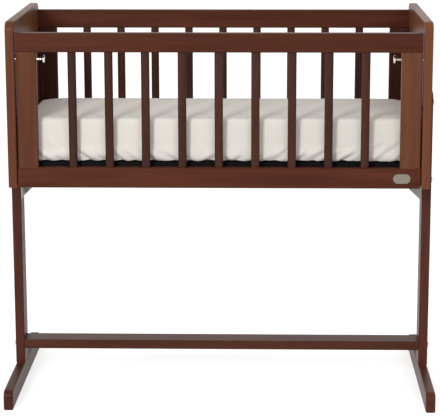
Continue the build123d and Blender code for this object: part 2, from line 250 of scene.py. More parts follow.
# %% [markdown]
# Stained wood has three layers of detail: broad changes of tone along a board, streaks of early and
# late wood, and fine open pores. All three are noise that is stretched along the grain. One node group
# makes them, so every board shares one kind of wood, and the values set its tone and direction.

# %% Wood grain group
tone_shares = (0.5, 0.5)
fibre_relief = 0.4
flat_relief = 0.6

grain_group, grain_in, grain_out = new_group("wood_grain", [
    ("Coordinates", "Vector", None),
    ("Stretch", "Vector", (1.0, 1.0, 1.0)),
    ("Light wood", "Color", (0.12, 0.05, 0.03, 1.0)),
    ("Dark wood", "Color", (0.06, 0.02, 0.012, 1.0)),
    ("Pore depth", "Float", 0.5),
], [("Colour", "Color"), ("Height", "Float"), ("Roughness", "Float")])
board_space = add_node(grain_group, "ShaderNodeVectorMath", {
    0: grain_in.outputs["Coordinates"], 1: grain_in.outputs["Stretch"],
}, operation="MULTIPLY").outputs[0]
broad_tone = add_node(grain_group, "ShaderNodeTexNoise", {
    "Vector": board_space, "Scale": 3.0, "Detail": 1.5, "Roughness": 0.4,
}).outputs["Fac"]
streaks = add_node(grain_group, "ShaderNodeTexNoise", {
    "Vector": board_space, "Scale": 42.0, "Detail": 4.0, "Roughness": 0.6, "Distortion": 0.6,
}).outputs["Fac"]
fibres = add_node(grain_group, "ShaderNodeTexNoise", {
    "Vector": board_space, "Scale": 330.0, "Detail": 2.0, "Roughness": 0.55,
}).outputs["Fac"]
broad_part = arithmetic(grain_group, "MULTIPLY", broad_tone, tone_shares[0])
tone_sum = arithmetic(grain_group, "MULTIPLY_ADD", streaks, tone_shares[1], broad_part)
tone_share = add_node(grain_group, "ShaderNodeMapRange", {
    "Value": tone_sum, "From Min": 0.36, "From Max": 0.64,
}).outputs["Result"]
dark_wood, light_wood = grain_in.outputs["Dark wood"], grain_in.outputs["Light wood"]
wood_colour = mixed_colour(grain_group, tone_share, dark_wood, light_wood)
pores = add_node(grain_group, "ShaderNodeMapRange", {
    "Value": fibres, "From Min": 0.60, "From Max": 0.72,
}).outputs["Result"]
pore_depth = arithmetic(grain_group, "MULTIPLY", pores, grain_in.outputs["Pore depth"])
pored_colour = mixed_colour(grain_group, pore_depth, wood_colour, dark_wood)
fibre_height = arithmetic(grain_group, "MULTIPLY_ADD", fibres, fibre_relief, flat_relief)
wood_height = arithmetic(grain_group, "SUBTRACT", fibre_height, pore_depth)
wood_roughness = add_node(grain_group, "ShaderNodeMapRange", {
    "Value": tone_share, "To Min": 0.36, "To Max": 0.30,
}).outputs["Result"]
for socket, value in (("Colour", pored_colour), ("Height", wood_height), ("Roughness", wood_roughness)):
    grain_group.links.new(value, grain_out.inputs[socket])
print("wood grain group:", len(grain_group.nodes), "nodes")

# %% [markdown]
# Hands and cloths thin the stain where two faces meet, so every edge of such furniture is a little
# lighter than the flat beside it. The lighter edge is also a painted highlight, standing in for the
# lamps caught on the rounded edges. A Bevel node turns the normal near an edge. Where the turned normal
# parts from the true one there is an edge, and the group gives that as a mask, broken up by noise.

# %% Edge wear and painted highlight group
wear_and_highlight_group, wear_and_highlight_in, wear_and_highlight_out = new_group("edge_wear_and_highlight", [
    ("Coordinates", "Vector", None),
    ("Reach", "Float", 0.0025),
    ("Amount", "Float", 0.5),
], [("Mask", "Float")])
softened = add_node(wear_and_highlight_group, "ShaderNodeBevel", {"Radius": wear_and_highlight_in.outputs["Reach"]}, samples=4)
true_normal = add_node(wear_and_highlight_group, "ShaderNodeNewGeometry").outputs["Normal"]
agreement = add_node(wear_and_highlight_group, "ShaderNodeVectorMath", {
    0: softened.outputs["Normal"], 1: true_normal,
}, operation="DOT_PRODUCT").outputs["Value"]
edge_share = add_node(wear_and_highlight_group, "ShaderNodeMapRange", {
    "Value": agreement, "From Min": 0.995, "From Max": 0.90,
}).outputs["Result"]
rubbing = add_node(wear_and_highlight_group, "ShaderNodeTexNoise", {
    "Vector": wear_and_highlight_in.outputs["Coordinates"], "Scale": 60.0, "Detail": 3.0,
}).outputs["Fac"]
rubbed_and_highlit_edge = arithmetic(wear_and_highlight_group, "MULTIPLY", edge_share, rubbing)
wear_and_highlight_mask = arithmetic(wear_and_highlight_group, "MULTIPLY", rubbed_and_highlit_edge, wear_and_highlight_in.outputs["Amount"], use_clamp=True)
wear_and_highlight_group.links.new(wear_and_highlight_mask, wear_and_highlight_out.inputs["Mask"])
print("edge wear group:", len(wear_and_highlight_group.nodes), "nodes")

# %% [markdown]
# The crib is beech, stained to a red walnut brown and sealed with a satin varnish. Rails, uprights,
# slats and end panels each have their own pair of browns, set to how light falls on each kind of
# board, so the differences between them are partly painted light and shade; the back uprights, which
# stand in shade, take a darker copy that is painted shade.
# The varnish is the specular layer of the Principled BSDF: weak face on, strong at a grazing look.

# %% Wood finishes
grain_directions = {"x": (0.07, 1.0, 1.0), "y": (1.0, 0.07, 1.0), "z": (1.0, 1.0, 0.07)}
varnish_specular = 0.07
# Edges are this much lighter than the light wood: real wear plus a painted highlight.
worn_and_highlight_edge_gain = 1.9
wear_and_highlight_reach = 0.0025
pore_strength = 0.55


def brighter(colour, gain):
    """A colour whose parts are scaled, as a Blender colour."""
    return tuple(min(1.0, part * gain) for part in colour[:3]) + (1.0,)


def stained_wood(name, direction, light, dark, wear_and_highlight_amount=0.7, gloss=varnish_specular):
    """Varnished beech whose grain runs along one axis."""
    material, tree, shader = new_finish(name)
    place = add_node(tree, "ShaderNodeTexCoord").outputs["Object"]
    grain = place_group(tree, grain_group, {
        "Coordinates": place, "Stretch": grain_directions[direction],
        "Light wood": light + (1.0,), "Dark wood": dark + (1.0,), "Pore depth": pore_strength,
    })
    # The edge mask lightens the wood: partly real wear, partly a painted highlight.
    worn_and_highlit_edges = place_group(tree, wear_and_highlight_group, {"Coordinates": place, "Reach": wear_and_highlight_reach, "Amount": wear_and_highlight_amount})
    worn_and_highlight_colour = brighter(light, worn_and_highlight_edge_gain)
    rubbed_and_highlit_wood = mixed_colour(tree, worn_and_highlit_edges.outputs["Mask"], grain.outputs["Colour"], worn_and_highlight_colour)
    relief = add_node(tree, "ShaderNodeBump", {
        "Height": grain.outputs["Height"], "Strength": 0.25, "Distance": 0.0002,
    })
    tree.links.new(rubbed_and_highlit_wood, shader.inputs["Base Color"])
    tree.links.new(grain.outputs["Roughness"], shader.inputs["Roughness"])
    tree.links.new(relief.outputs["Normal"], shader.inputs["Normal"])
    shader.inputs["Specular IOR Level"].default_value = gloss
    return material


rail_wood = stained_wood("rail_wood", "x", (0.112, 0.034, 0.018), (0.062, 0.017, 0.009))
upright_wood = stained_wood("upright_wood", "z", (0.148, 0.056, 0.030), (0.094, 0.032, 0.017))
slat_wood = stained_wood("slat_wood", "z", (0.070, 0.024, 0.016), (0.034, 0.011, 0.008), gloss=0.12)
# Painted shade: a darker copy of the upright browns for the back uprights, which stand in shade.
back_upright_painted_shade_wood = stained_wood("back_upright_painted_shade_wood", "z", (0.082, 0.029, 0.020), (0.040, 0.013, 0.010))
panel_wood = stained_wood("panel_wood", "z", (0.172, 0.062, 0.031), (0.110, 0.037, 0.019))
post_wood = stained_wood("post_wood", "z", (0.106, 0.034, 0.021), (0.058, 0.018, 0.011))
foot_wood = stained_wood("foot_wood", "y", (0.100, 0.032, 0.020), (0.055, 0.017, 0.011))
stretcher_wood = stained_wood("stretcher_wood", "x", (0.116, 0.040, 0.025), (0.064, 0.021, 0.013))
base_wood = stained_wood("base_wood", "x", (0.062, 0.022, 0.014), (0.034, 0.012, 0.008))
print("wood finishes:", sum("_wood" in material.name for material in bpy.data.materials))

# %% [markdown]
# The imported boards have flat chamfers. A real board's edge is rubbed round with sandpaper. Each board
# is copied, its doubled points are welded, flat faces are joined, and the edges that turn by 45 degrees,
# which are the chamfers' own, take a small bevel. Shading then rounds what the bevel leaves.

# %% Rounded boards
weld_distance = 0.00002
flat_angle = math.radians(1.0)
smooth_angle = math.radians(34.0)
chamfer_turn = (math.radians(38.0), math.radians(52.0))
chamfer_round = 0.0009


def welded_copy(node):
    """A bmesh of a CAD node with its points joined and its flat faces whole."""
    shape = bmesh.new()
    shape.from_mesh(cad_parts[node].data)
    bmesh.ops.remove_doubles(shape, verts=shape.verts[:], dist=weld_distance)
    bmesh.ops.dissolve_limit(shape, angle_limit=flat_angle, verts=shape.verts[:], edges=shape.edges[:])
    return shape


def ease_edges(shape, edges, reach, segments=2):
    """Rounds some edges of a shape, up to a reach from each."""
    bmesh.ops.bevel(shape, geom=edges, offset=reach, segments=segments, profile=0.5, affect="EDGES",
                    clamp_overlap=True)


def finish_piece(name, shape, material, body, slot, *nodes):
    """Turns a bmesh into a piece that rides on a body and stands for CAD nodes."""
    mesh = bpy.data.meshes.new(name)
    shape.to_mesh(mesh)
    shape.free()
    for attribute in ("custom_normal", "sharp_face"):
        if attribute in mesh.attributes:
            mesh.attributes.remove(mesh.attributes[attribute])
    mesh.shade_smooth()
    mesh.set_sharp_from_angle(angle=smooth_angle)
    mesh.materials.clear()
    mesh.materials.append(material)
    piece = bpy.data.objects.new(name, mesh)
    bpy.context.scene.collection.objects.link(piece)
    weighted = piece.modifiers.new("flat_faces_stay_flat", "WEIGHTED_NORMAL")
    weighted.keep_sharp = True
    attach(piece, body)
    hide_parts(*nodes)
    return piece


def rounded_board(node, material, body="stand"):
    """A packed board with its chamfers rubbed round."""
    shape = welded_copy(node)
    low_turn, high_turn = chamfer_turn
    rims = [edge for edge in shape.edges if low_turn < abs(edge.calc_face_angle(0.0)) < high_turn]
    ease_edges(shape, rims, chamfer_round)
    return finish_piece(node + "_board", shape, material, body, "dark_wood", node)


boards = {
    "stretcher": stretcher_wood, "left_post": post_wood, "right_post": post_wood,
    "left_foot": foot_wood, "right_foot": foot_wood,
    "left_end_panel": panel_wood, "right_end_panel": panel_wood,
    "back_top_rail": rail_wood, "back_bottom_rail": rail_wood,
    "back_left_stile": back_upright_painted_shade_wood, "back_right_stile": back_upright_painted_shade_wood,
}
drop_side_boards = {
    "gate_top_rail": rail_wood, "gate_bottom_rail": rail_wood,
    "gate_left_stile": upright_wood, "gate_right_stile": upright_wood,
}
for node, material in boards.items():
    rounded_board(node, material)
for node, material in drop_side_boards.items():
    rounded_board(node, material, "drop_side")
print("rounded boards:", len(boards) + len(drop_side_boards))

# %% [markdown]
# A slat is a slim bar whose faces are slightly crowned, so the light makes a soft stripe down it. That
# outline is a superellipse: a power of 2 gives an ellipse, and higher powers come nearer to a rectangle.
# The slat is a stack of such outlines: the tongue in the lower rail, the bar, and the upper tongue.

# %% Slats
slat_steps = 40
slat_power = 2.7
tongue_power = 12.0
tongue_half = (0.0065, 0.0035)
tongue_depth = 0.012
slat_count = 9


def superellipse(half_x, half_y, power):
    """Points round a slat's outline."""
    points = []
    for step in range(slat_steps):
        angle = 2 * math.pi * (step + 0.5) / slat_steps
        across, through = math.cos(angle), math.sin(angle)
        points.append((half_x * math.copysign(abs(across) ** (2 / power), across),
                       half_y * math.copysign(abs(through) ** (2 / power), through)))
    return points


def skin_over(shape, loops):
    """Closes a stack of loops into a solid skin: sides from loop to loop, and a face at both ends."""
    for lower, upper in zip(loops, loops[1:]):
        for here in range(len(lower)):
            after = (here + 1) % len(lower)
            shape.faces.new((lower[here], lower[after], upper[after], upper[here]))
    shape.faces.new(loops[0][::-1])
    shape.faces.new(loops[-1])


def crowned_slat(low, high):
    """A slat with its two tongues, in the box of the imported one."""
    middle, half = (low + high) / 2, (high - low) / 2
    bar = (half.x, half.y, slat_power)
    tongue = (*tongue_half, tongue_power)
    shape = bmesh.new()
    loops = []
    for z, outline in ((low.z, tongue), (low.z + tongue_depth, tongue), (low.z + tongue_depth, bar),
                       (high.z - tongue_depth, bar), (high.z - tongue_depth, tongue), (high.z, tongue)):
        loops.append([shape.verts.new((middle.x + x, middle.y + y, z)) for x, y in superellipse(*outline)])
    skin_over(shape, loops)
    return shape


for number in range(1, slat_count + 1):
    for side, body in (("back", "stand"), ("gate", "drop_side")):
        node = f"{side}_slat_{number}"
        bar = crowned_slat(*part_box(node))
        finish_piece(f"{side}_slat_bar_{number}", bar, slat_wood, body, "dark_wood", node)
print("slats:", 2 * slat_count)

# %% [markdown]
# Inside the box under the mattress are plain square battens. Only their long edges are eased, so these
# boards round the edges that turn a right angle and leave the small ones, such as screw holes, alone.

# %% Base rails and cleats
edge_ease = 0.0015
long_edge = 0.02
square_turn = math.radians(80.0)


def eased_board(node, material, slot="dark_wood", ease=edge_ease):
    """A packed batten or sheet of board with its long square edges eased."""
    shape = welded_copy(node)
    rims = [edge for edge in shape.edges
            if edge.calc_length() > long_edge and abs(edge.calc_face_angle(0.0)) > square_turn]
    ease_edges(shape, rims, ease, segments=3)
    return finish_piece(node + "_batten", shape, material, "stand", slot, node)


cleat_wood = stained_wood("cleat_wood", "y", (0.062, 0.022, 0.014), (0.034, 0.012, 0.008))
battens = {
    "front_base_rail": base_wood, "back_base_rail": base_wood,
    "left_base_cleat": cleat_wood, "right_base_cleat": cleat_wood,
}
for node, material in battens.items():
    eased_board(node, material)
print("battens:", len(battens))

# %% [markdown]
# Metal, paint and plastic have fine irregularities too: rolled steel is streaky, paint has an orange-peel
# surface, and handled plating is smeared. A short group gives a speckle that shifts tone and roughness.

# %% Speckle group
speckle_group, speckle_in, speckle_out = new_group("speckle", [
    ("Coordinates", "Vector", None),
    ("Scale", "Float", 300.0),
    ("Colour", "Color", (0.5, 0.5, 0.5, 1.0)),
    ("Smooth", "Float", 0.3),
    ("Rough", "Float", 0.4),
], [("Colour", "Color"), ("Roughness", "Float"), ("Height", "Float")])
speckle = add_node(speckle_group, "ShaderNodeTexNoise", {
    "Vector": speckle_in.outputs["Coordinates"], "Scale": speckle_in.outputs["Scale"], "Detail": 3.0,
}).outputs["Fac"]
smears = add_node(speckle_group, "ShaderNodeTexNoise", {
    "Vector": speckle_in.outputs["Coordinates"], "Scale": 45.0, "Detail": 2.0, "Distortion": 0.4,
}).outputs["Fac"]
speckle_gain = add_node(speckle_group, "ShaderNodeMapRange", {
    "Value": speckle, "To Min": 0.82, "To Max": 1.14,
})
speckle_tone = add_node(speckle_group, "ShaderNodeVectorMath", {
    0: speckle_in.outputs["Colour"], "Scale": speckle_gain.outputs["Result"],
}, operation="SCALE").outputs[0]
speckle_rough = add_node(speckle_group, "ShaderNodeMapRange", {
    "Value": smears, "From Min": 0.35, "From Max": 0.65,
    "To Min": speckle_in.outputs["Smooth"], "To Max": speckle_in.outputs["Rough"],
}).outputs["Result"]
for socket, value in (("Colour", speckle_tone), ("Roughness", speckle_rough), ("Height", speckle)):
    speckle_group.links.new(value, speckle_out.inputs[socket])
print("speckle group:", len(speckle_group.nodes), "nodes")

# %% [markdown]
# Every fitting takes the speckle with its own colour, gloss and relief. The board under the mattress is
# black laminate, made black and matt so that the slot between the sheet and the lower rail stays black:
# that black stands in for the shade in the slot, so it is painted shade. The tracks keep their imported
# shape, because only their channel's mouth shows, and take the nylon.

# %% Fitting finishes
def fitting_finish(name, colour, smooth, rough, scale=300.0, relief_share=0.1, **sockets):
    """A metal, paint or plastic with speckle, whose roughness goes from smooth to rough."""
    material, tree, shader = new_finish(name, **sockets)
    speckled = place_group(tree, speckle_group, {
        "Coordinates": add_node(tree, "ShaderNodeTexCoord").outputs["Object"],
        "Scale": scale, "Colour": colour + (1.0,), "Smooth": smooth, "Rough": rough,
    })
    relief = add_node(tree, "ShaderNodeBump", {
        "Height": speckled.outputs["Height"], "Strength": relief_share, "Distance": 0.0002,
    })
    tree.links.new(speckled.outputs["Colour"], shader.inputs["Base Color"])
    tree.links.new(speckled.outputs["Roughness"], shader.inputs["Roughness"])
    tree.links.new(relief.outputs["Normal"], shader.inputs["Normal"])
    return material


laminate_specular = 0.08
laminate_ease = 0.0008

bright_nickel = fitting_finish("bright_nickel", (0.78, 0.75, 0.71), 0.16, 0.28, Metallic=1.0)
zinc_plate = fitting_finish("zinc_plate", (0.58, 0.59, 0.60), 0.30, 0.46, Metallic=1.0)
spring_wire_steel = fitting_finish("spring_wire_steel", (0.52, 0.52, 0.53), 0.25, 0.36, Metallic=1.0)
champagne_metal = fitting_finish("champagne_metal", (0.26, 0.235, 0.195), 0.34, 0.48, 900.0, Metallic=0.35)
bracket_enamel = fitting_finish("bracket_enamel", (0.44, 0.405, 0.37), 0.38, 0.52, 600.0, 0.25)
track_nylon = fitting_finish("track_nylon", (0.020, 0.011, 0.009), 0.42, 0.55, 500.0, 0.15)
# Painted shade: this board is near black so that the slot under the sheet shows as dark shade.
painted_shade_black_laminate = fitting_finish("painted_shade_black_laminate", (0.006, 0.006, 0.007), 0.55, 0.7, 800.0, 0.15)
laminate_shader = painted_shade_black_laminate.node_tree.nodes["Principled BSDF"]
laminate_shader.inputs["Specular IOR Level"].default_value = laminate_specular
for node in ("left_gate_track", "right_gate_track"):
    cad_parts[node].data.materials[0] = track_nylon
eased_board("base_board", painted_shade_black_laminate, "black_board", laminate_ease)
print("finishes in all:", len(bpy.data.materials))

# %% [markdown]
# Bolts, screws, nuts and pins are all turned or formed round an axis. One helper spins a profile: a list
# of rings, each with its distance along the axis, its radius, and 6 where the outline is a hexagon. A
# closed profile makes a ring, such as a nut, and an open one that ends in points makes a solid part.

# %% Turned parts
ring_sides = 36
end_slice = 0.0005
along_x = Vector((1.0, 0.0, 0.0))


def hexagon_share(angle):
    """How far a hexagon's outline lies from its middle at an angle, when its flats are 1 away."""
    return 1.0 / math.cos((angle + math.pi / 6) % (math.pi / 3) - math.pi / 6)


def turned(shape, start, way, profile, closed=False):
    """Adds a profile, spun round an axis, to a bmesh."""
    way = way.normalized()
    side = way.orthogonal().normalized()
    other = way.cross(side)
    rings = []
    for along, radius, corners in profile:
        middle = start + way * along
        if radius == 0.0:
            rings.append([shape.verts.new(middle)])
            continue
        ring = []
        for step in range(ring_sides):
            angle = 2 * math.pi * step / ring_sides
            reach = radius * (hexagon_share(angle) if corners == 6 else 1.0)
            ring.append(shape.verts.new(middle + (side * math.cos(angle) + other * math.sin(angle)) * reach))
        rings.append(ring)
    pairs = list(zip(rings, rings[1:])) + ([(rings[-1], rings[0])] if closed else [])
    for first, second in pairs:
        for step in range(ring_sides):
            after = (step + 1) % ring_sides
            corners = [first[step % len(first)], second[step % len(second)]]
            corners += [second[after % len(second)], first[after % len(first)]]
            shape.faces.new(list(dict.fromkeys(corners)))
    bmesh.ops.recalc_face_normals(shape, faces=shape.faces[:])


def solids_of(node):
    """The points of each separate solid in a CAD node."""
    shape = welded_copy(node)
    left = set(shape.verts)
    groups = []
    while left:
        group, waiting = [], [left.pop()]
        while waiting:
            point = waiting.pop()
            group.append(point.co.copy())
            for edge in point.link_edges:
                neighbour = edge.other_vert(point)
                if neighbour in left:
                    left.discard(neighbour)
                    waiting.append(neighbour)
        groups.append(group)
    shape.free()
    return groups


def lie_of(points):
    """Where a turned solid's wide end is, which way it runs from there, and how long it is."""
    low = Vector([min(point[axis] for point in points) for axis in range(3)])
    high = Vector([max(point[axis] for point in points) for axis in range(3)])
    spans = high - low
    axis = max(range(3), key=lambda i: spans[i])
    middle = (low + high) / 2
    width_at = []
    for end in (low[axis], high[axis]):
        near = [point - middle for point in points if abs(point[axis] - end) < end_slice]
        width_at.append(max(offset.length_squared - offset[axis] ** 2 for offset in near))
    start, way = middle.copy(), Vector((0.0, 0.0, 0.0))
    from_low = width_at[0] >= width_at[1]
    start[axis] = low[axis] if from_low else high[axis]
    way[axis] = 1.0 if from_low else -1.0
    return start, way, spans[axis]


print("turned rings have", ring_sides, "points")

# %% [markdown]
# A furniture bolt has a low round head with a hexagon socket, and a rolled thread on the far part of its
# shank. A wood screw has a domed head and a coarse thread that tapers to a point. The thread is drawn as
# close rings, which reads the same as a helix at this size and spins in one go.

# %% Bolts and screws
bolt_thread_length = 0.027
bolt_thread_pitch = 0.001
screw_plain_share = 0.35
screw_thread_pitch = 0.0018


def bolt_profile(length):
    """Half the section of a furniture bolt, from the bottom of its socket to its tip."""
    head = [(0.0017, 0.0, 0), (0.0017, 0.0020, 6), (0.0002, 0.0020, 6), (0.0, 0.0023, 6), (0.0, 0.0048, 0),
            (0.0003, 0.0057, 0), (0.0009, 0.0063, 0), (0.0018, 0.0065, 0), (0.0027, 0.0064, 0),
            (0.0030, 0.0060, 0), (0.0030, 0.0030, 0)]
    thread = []
    turn = length - bolt_thread_length
    while turn < length - 0.0015:
        thread += [(turn, 0.0030, 0), (turn + bolt_thread_pitch / 2, 0.0026, 0)]
        turn += bolt_thread_pitch
    return head + thread + [(length - 0.0008, 0.0027, 0), (length, 0.0021, 0), (length, 0.0, 0)]


def screw_profile(length):
    """Half the section of a wood screw, from the bottom of its socket to its point."""
    head = [(0.0012, 0.0, 0), (0.0012, 0.0012, 6), (0.0003, 0.0014, 6), (0.0001, 0.0020, 0),
            (0.0005, 0.0031, 0), (0.0012, 0.0038, 0), (0.0021, 0.0040, 0), (0.0024, 0.0037, 0),
            (0.0024, 0.0018, 0)]
    thread = []
    turn = length * screw_plain_share
    while turn < length - 0.007:
        thread += [(turn, 0.0020, 0), (turn + screw_thread_pitch / 2, 0.0014, 0)]
        turn += screw_thread_pitch
    return head + thread + [(length - 0.005, 0.0013, 0), (length, 0.0, 0)]


fixings = {
    "cot_bolts": bolt_profile, "bracket_bolts": bolt_profile, "stand_screws": bolt_profile,
    "back_rail_screws": bolt_profile, "bracket_screws": screw_profile, "cleat_screws": screw_profile,
}
for node, profile_of in fixings.items():
    fixing = bmesh.new()
    lies = [lie_of(points) for points in solids_of(node)]
    for start, way, length in lies:
        turned(fixing, start, way, profile_of(length))
    finish_piece(node + "_turned", fixing, zinc_plate, "stand", "zinc_steel", node)
    print(node, len(lies))

# %% [markdown]
# Nuts and insert nuts are rings. The nuts' corners are turned off at both faces, as on any pressed nut,
# and the insert nuts carry a coarse outer thread that bites into the end panels.

# %% Nuts
def ring_at(points):
    """The middle of a ring's face at its low X, and its length along X."""
    low_x = min(point.x for point in points)
    high_x = max(point.x for point in points)
    middle = sum(points, Vector()) / len(points)
    return Vector((low_x, middle.y, middle.z)), high_x - low_x


nut_face = 0.00485
nut_flat = 0.004925
nut_chamfer = 0.0006
nut_bore = 0.0031
nut_bore_mouth = 0.0034
nut_bore_chamfer = 0.0004
nuts = bmesh.new()
for points in solids_of("bracket_nuts"):
    start, thick = ring_at(points)
    turned(nuts, start, along_x, [
        (0.0, nut_bore_mouth, 0), (0.0, nut_face, 0), (nut_chamfer, nut_flat, 6),
        (thick - nut_chamfer, nut_flat, 6), (thick, nut_face, 0), (thick, nut_bore_mouth, 0),
        (thick - nut_bore_chamfer, nut_bore, 0), (nut_bore_chamfer, nut_bore, 0),
    ], closed=True)
finish_piece("bracket_nuts_formed", nuts, zinc_plate, "stand", "zinc_steel", "bracket_nuts")

sleeve_radius = 0.0046
ridge_pitch = 0.002
sleeves = bmesh.new()
for points in solids_of("cot_insert_nuts"):
    start, long = ring_at(points)
    profile = [(0.0, nut_bore, 0), (0.0, sleeve_radius, 0)]
    ridge = ridge_pitch / 2
    while ridge < long - ridge_pitch:
        profile += [(ridge, 0.0049, 0), (ridge + 0.0012, 0.0043, 0)]
        ridge += ridge_pitch
    profile += [(long, sleeve_radius, 0), (long, nut_bore, 0)]
    turned(sleeves, start, along_x, profile, closed=True)
finish_piece("cot_insert_nuts_formed", sleeves, zinc_plate, "stand", "zinc_steel", "cot_insert_nuts")
print("nuts", len(solids_of("bracket_nuts")), "insert nuts", len(solids_of("cot_insert_nuts")))

# %% [markdown]
# The spring catch is what holds the drop side up. Its pin is bright turned metal: a round pull knob with
# a short neck that flares into it, a thin shaft through the stile, a collar for the spring, and a nose
# with a rounded tip that stands in the track. The profile runs from the knob's free face to the tip.

# %% Catch pins
catch_sides = {"left": -1.0, "right": 1.0}
for side, sign in catch_sides.items():
    low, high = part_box(side + "_catch_pin")
    span = high.x - low.x
    knob_face = (low + high) / 2
    knob_face.x = low.x if sign > 0 else high.x
    pin = bmesh.new()
    turned(pin, knob_face, along_x * sign, [
        (0.0006, 0.0, 0), (0.0005, 0.0052, 0), (0.0, 0.0064, 0), (0.0, 0.0078, 0), (0.0004, 0.0086, 0),
        (0.0012, 0.0090, 0), (0.0028, 0.0090, 0), (0.0036, 0.0086, 0), (0.0040, 0.0078, 0),
        (0.0042, 0.0048, 0), (0.0050, 0.0038, 0), (0.0065, 0.0030, 0), (0.0085, 0.0025, 0),
        (0.0515, 0.0025, 0), (0.0520, 0.0027, 0), (0.0520, 0.0049, 0), (0.0523, 0.0050, 0),
        (0.0547, 0.0050, 0), (0.0550, 0.0049, 0), (0.0550, 0.0040, 0), (span - 0.0030, 0.0040, 0),
        (span - 0.0012, 0.0035, 0), (span - 0.0003, 0.0022, 0), (span, 0.0, 0),
    ])
    finish_piece(side + "_catch_pin_turned", pin, bright_nickel, side + "_pin", "bright_metal",
                 side + "_catch_pin")
    print(side, "pin", round(span, 4), "m long")

# %% [markdown]
# The ferrule is a plated sleeve in the stile's edge that guides the nose. Below it a dark nylon guide
# stands in the same track. The ferrule is a ring and the guide a stub, and the drop side has one of each
# on either edge.

# %% Ferrules and guides
ferrules = bmesh.new()
guides = bmesh.new()
for points in solids_of("catch_ferrules"):
    start, long = ring_at(points)
    turned(ferrules, start, along_x, [
        (0.0, 0.0045, 0), (0.0, 0.0056, 0), (0.0003, 0.0059, 0), (long - 0.0003, 0.0059, 0),
        (long, 0.0056, 0), (long, 0.0045, 0), (long - 0.0004, 0.0041, 0), (0.0004, 0.0041, 0),
    ], closed=True)
for points in solids_of("gate_guides"):
    start, way, long = lie_of(points)
    turned(guides, start, way, [
        (0.0, 0.0, 0), (0.0, 0.0036, 0), (0.0004, 0.0044, 0), (0.0014, 0.00485, 0), (0.0086, 0.00485, 0),
        (0.0090, 0.0046, 0), (0.0090, 0.0029, 0), (long - 0.001, 0.0029, 0), (long, 0.0022, 0),
        (long, 0.0, 0),
    ])
finish_piece("catch_ferrules_turned", ferrules, bright_nickel, "drop_side", "bright_metal", "catch_ferrules")
finish_piece("gate_guides_turned", guides, track_nylon, "drop_side", "track_plastic", "gate_guides")
print("ferrules", len(solids_of("catch_ferrules")), "guides", len(solids_of("gate_guides")))

# %% [markdown]
# A compression spring is a wire on a helix, closed at both ends, where the turns lie against each other.
# The pitch of each turn comes from one formula, and the tube round the path is built ring by ring.

# %% Catch springs
spring_turns = 9
spring_steps = 22
wire_sides = 8
wire_radius = 0.0006
bore_clearance = 0.0001
closed_ends = (0.0425, 0.05)


def spring_coil(start, way, length, coil_radius):
    """A wire on a helix whose turns lie closer at both ends."""
    shape = bmesh.new()
    side = Vector((0.0, 1.0, 0.0))
    other = way.cross(side)
    total = spring_turns * spring_steps
    rings = []
    for step in range(total + 1):
        share = step / total
        angle = 2 * math.pi * spring_turns * share
        eased = share
        for waves, depth in zip((4, 2), closed_ends):
            eased -= depth * math.sin(waves * math.pi * share)
        centre = start + way * (wire_radius + (length - 2 * wire_radius) * eased)
        outward = side * math.cos(angle) + other * math.sin(angle)
        ring = []
        for corner in range(wire_sides):
            turn = 2 * math.pi * corner / wire_sides
            offset = outward * math.cos(turn) * wire_radius + way * math.sin(turn) * wire_radius
            ring.append(shape.verts.new(centre + outward * coil_radius + offset))
        rings.append(ring)
    skin_over(shape, rings)
    bmesh.ops.recalc_face_normals(shape, faces=shape.faces[:])
    return shape


for side, sign in catch_sides.items():
    low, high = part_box(side + "_catch_spring")
    length = high.x - low.x
    coil_radius = (high.y - low.y) / 2 - wire_radius - bore_clearance
    anchor = (low + high) / 2
    anchor.x = low.x if sign > 0 else high.x
    coil = spring_coil(anchor, along_x * sign, length, coil_radius)
    piece = finish_piece(side + "_catch_spring_coil", coil, spring_wire_steel, "drop_side", "spring_steel",
                         side + "_catch_spring")
    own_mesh(piece)
    print(side, "spring", spring_turns, "turns in", round(length, 4), "m")

# %% [markdown]
# The height brackets are pressed steel angles with one gusset, in light grey paint. Pressed and painted
# steel has no sharp edge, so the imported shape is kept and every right-angled edge is eased.

# %% Height brackets
steel_ease = 0.0006
shortest_eased = 0.0025
folded_turn = math.radians(60.0)
for side in catch_sides:
    node = side + "_height_bracket"
    angle_steel = welded_copy(node)
    rims = [edge for edge in angle_steel.edges
            if abs(edge.calc_face_angle(0.0)) > folded_turn and edge.calc_length() > shortest_eased]
    ease_edges(angle_steel, rims, steel_ease)
    finish_piece(node + "_steel", angle_steel, bracket_enamel, "stand", "bracket_paint", node)
    print(node, "edges eased", len(rims))

# %% [markdown]
# The plate on the lower rail is a small pill of champagne-coloured metal with a raised rim. It is bare.
# It is a stack of pill outlines, drawn in or out: side, rounded rim, step down, and a flat field.

# %% Bare plate
plate_steps = (
    (0.0, 0.0), (0.0, 0.0010), (0.00015, 0.0013), (0.0005, 0.0015),
    (0.0013, 0.0015), (0.0016, 0.0014), (0.0018, 0.0011), (0.0022, 0.0010),
)


def pill_outline(half_length, radius, steps=20):
    """Points round a bar with two half-round ends."""
    points = []
    for end in (1, -1):
        for step in range(steps + 1):
            angle = math.pi * step / steps - math.pi / 2
            along = half_length - radius + radius * math.cos(angle)
            points.append((end * along, end * radius * math.sin(angle)))
    return points


plate_low, plate_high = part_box("badge_plate")
plate_middle = (plate_low + plate_high) / 2
plate_half = (plate_high.x - plate_low.x) / 2
plate_radius = (plate_high.z - plate_low.z) / 2
plate = bmesh.new()
plate_loops = []
for inset, height in plate_steps:
    outline = pill_outline(plate_half - inset, plate_radius - inset)
    plate_loops.append([plate.verts.new((plate_middle.x + x, plate_high.y - height, plate_middle.z + z))
                        for x, z in outline])
skin_over(plate, plate_loops)
bmesh.ops.recalc_face_normals(plate, faces=plate.faces[:])
finish_piece("badge_plate_pressed", plate, champagne_metal, "drop_side", "badge_metal", "badge_plate")
print("plate half length", round(plate_half, 4), "m")

